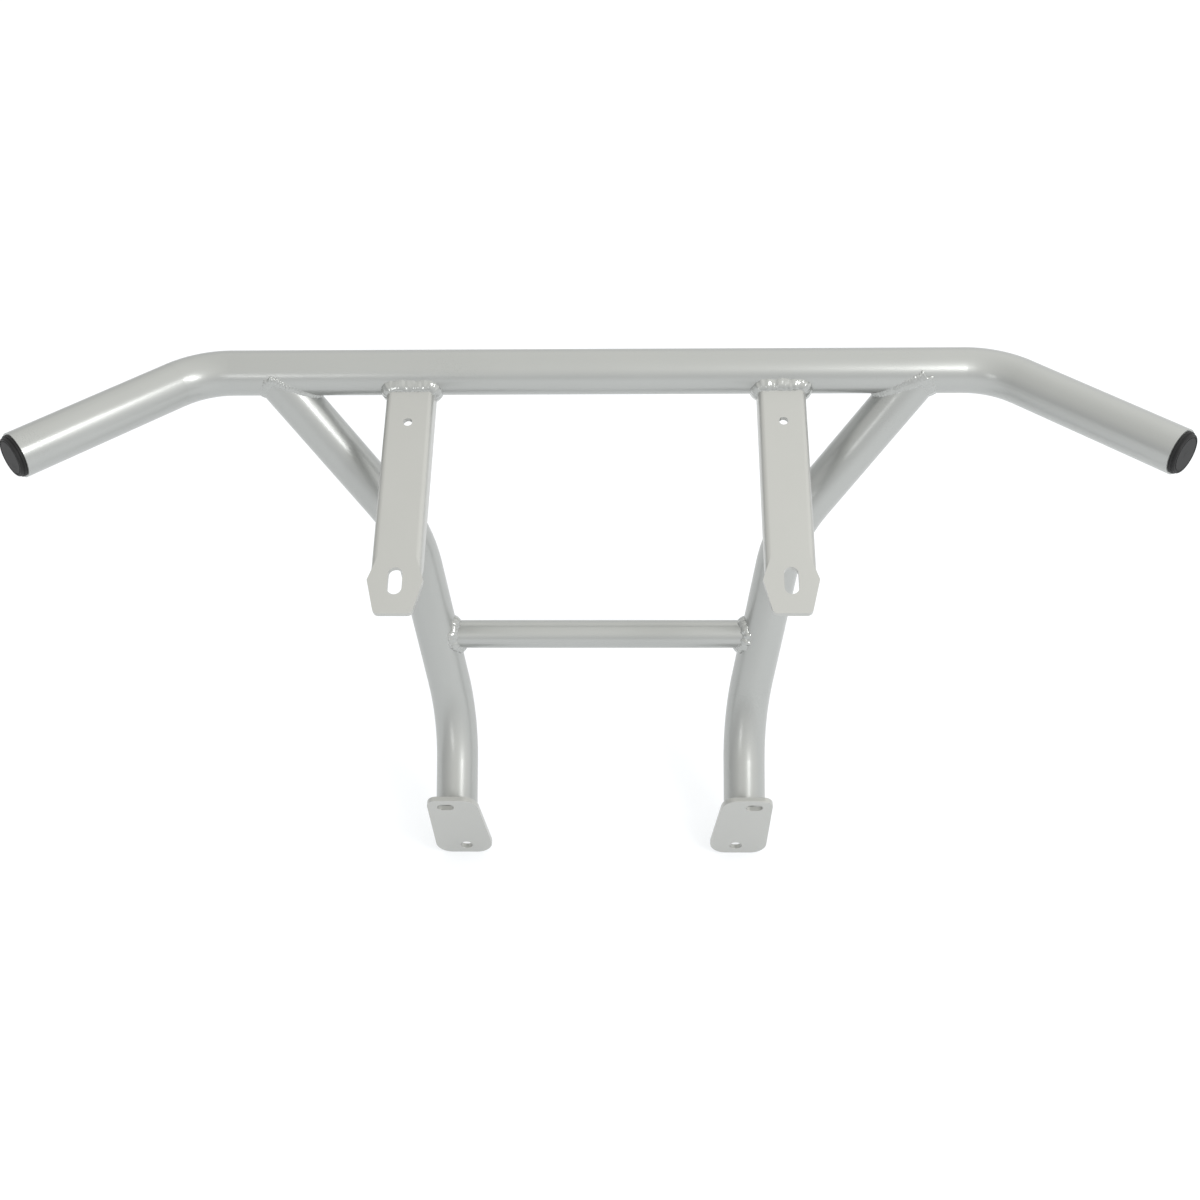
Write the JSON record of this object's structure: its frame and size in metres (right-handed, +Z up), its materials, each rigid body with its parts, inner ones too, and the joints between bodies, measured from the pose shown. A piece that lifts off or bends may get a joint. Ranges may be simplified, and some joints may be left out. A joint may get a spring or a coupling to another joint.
{
  "type": "utv rear bumper",
  "caption": "Rear bumper of bent round tube for a side-by-side utility vehicle, with swept arms, two bent legs on foot plates, a cross tube and folded strap brackets.",
  "frame": {"origin": "lowest level of the foot plates, below the middle of the part's bounding box", "axes": "+X across the vehicle to its right when seen from the vehicle, -Y towards the vehicle, +Z up"},
  "size_m": [0.9426, 0.2394, 0.4544],
  "materials": {
    "tube_coat": "light silver-grey satin powder coat on steel tube",
    "plate_coat": "the same powder coat on folded and flat steel plate",
    "cap_plastic": "black plastic with a fine grain",
    "weld_bead": "rippled weld bead under the powder coat"
  },
  "bodies": {
    "root": {"main_tube": "tube_coat", "left_leg_tube": "tube_coat", "right_leg_tube": "tube_coat", "cross_tube": "tube_coat", "left_strap": "plate_coat", "right_strap": "plate_coat", "left_foot_plate": "plate_coat", "right_foot_plate": "plate_coat", "left_end_cap": "cap_plastic", "right_end_cap": "cap_plastic", "left_leg_weld": "weld_bead", "right_leg_weld": "weld_bead", "left_strap_weld": "weld_bead", "right_strap_weld": "weld_bead", "left_cross_weld": "weld_bead", "right_cross_weld": "weld_bead", "left_foot_weld": "weld_bead", "right_foot_weld": "weld_bead"}
  },
  "joints": []
}
